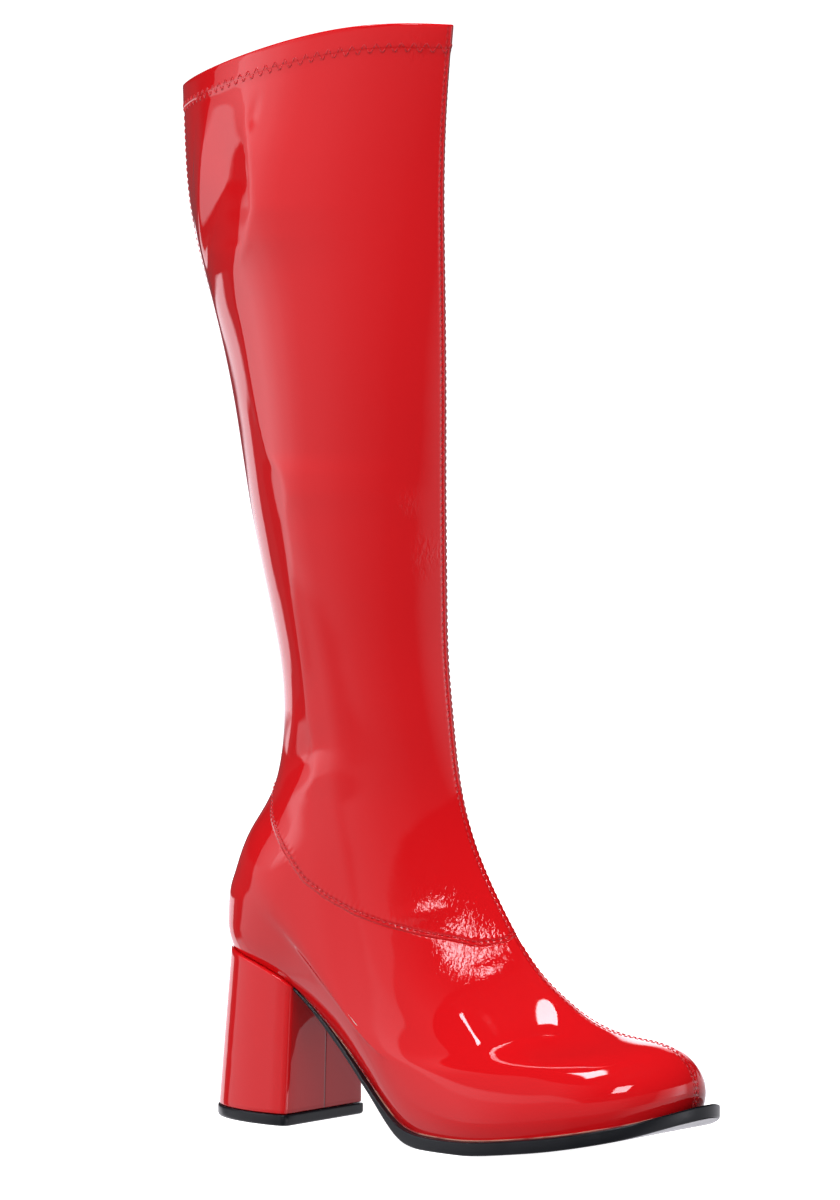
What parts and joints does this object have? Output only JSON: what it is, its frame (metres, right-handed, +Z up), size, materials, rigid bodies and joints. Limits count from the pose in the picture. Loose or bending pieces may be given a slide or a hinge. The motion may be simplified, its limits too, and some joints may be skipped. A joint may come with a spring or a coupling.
{
  "type": "knee-high boot",
  "caption": "Knee-high patent boot with a rounded square toe, a covered block heel and a turned hem at the collar.",
  "frame": {"origin": "on the floor under the heel, at the middle of the top piece's width, 24 mm behind its front edge", "axes": "+X to the toe, +Y to the inner side of the leg, +Z up the leg"},
  "size_m": [0.2919, 0.0944, 0.4859],
  "materials": {
    "red_patent": "high gloss patent",
    "black_sole": "satin",
    "pale_lining": "matte"
  },
  "bodies": {
    "root": {"upper": "red_patent", "outsole": "black_sole", "heel_block": "red_patent", "heel_lift": "black_sole", "insole": "pale_lining"}
  },
  "joints": []
}
